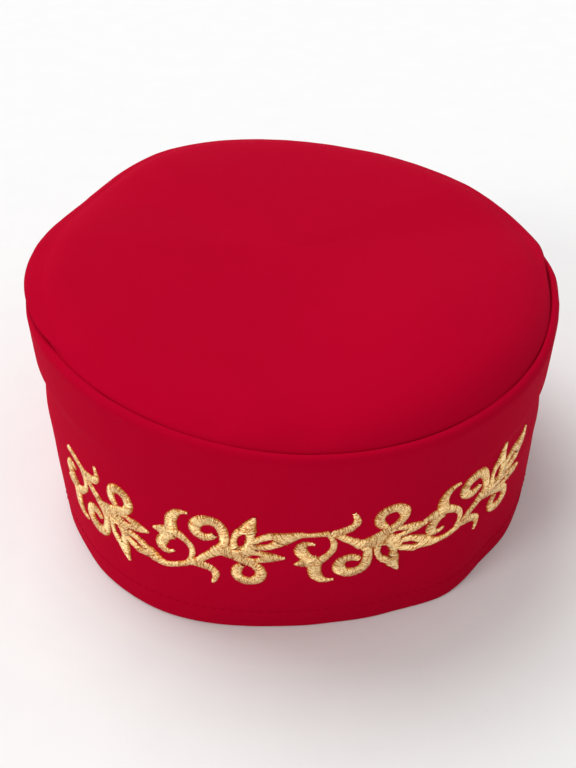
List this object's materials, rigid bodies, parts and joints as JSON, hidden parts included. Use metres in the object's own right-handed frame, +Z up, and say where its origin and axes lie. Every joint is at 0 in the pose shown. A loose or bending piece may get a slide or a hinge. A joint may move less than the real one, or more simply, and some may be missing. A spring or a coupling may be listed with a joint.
{
  "type": "kufi cap",
  "caption": "Soft flat-topped oval cloth cap with an open underside and a raised running vine embroidered across the front of its band.",
  "frame": {"origin": "on the surface that the cap stands on, under the centre of the box round it", "axes": "+Z up from the rim to the crown, -Y towards the embroidered front of the cap, +X to the viewer's right when the front is seen"},
  "size_m": [0.1801, 0.2018, 0.0889],
  "materials": {
    "red_cloth": "matt, finely woven",
    "gold_thread": "lustrous metallic thread"
  },
  "bodies": {
    "root": {"side_band": "red_cloth", "crown": "red_cloth", "vine_unit_1": "gold_thread", "vine_unit_2": "gold_thread", "vine_unit_3": "gold_thread", "vine_unit_4": "gold_thread"}
  },
  "joints": []
}
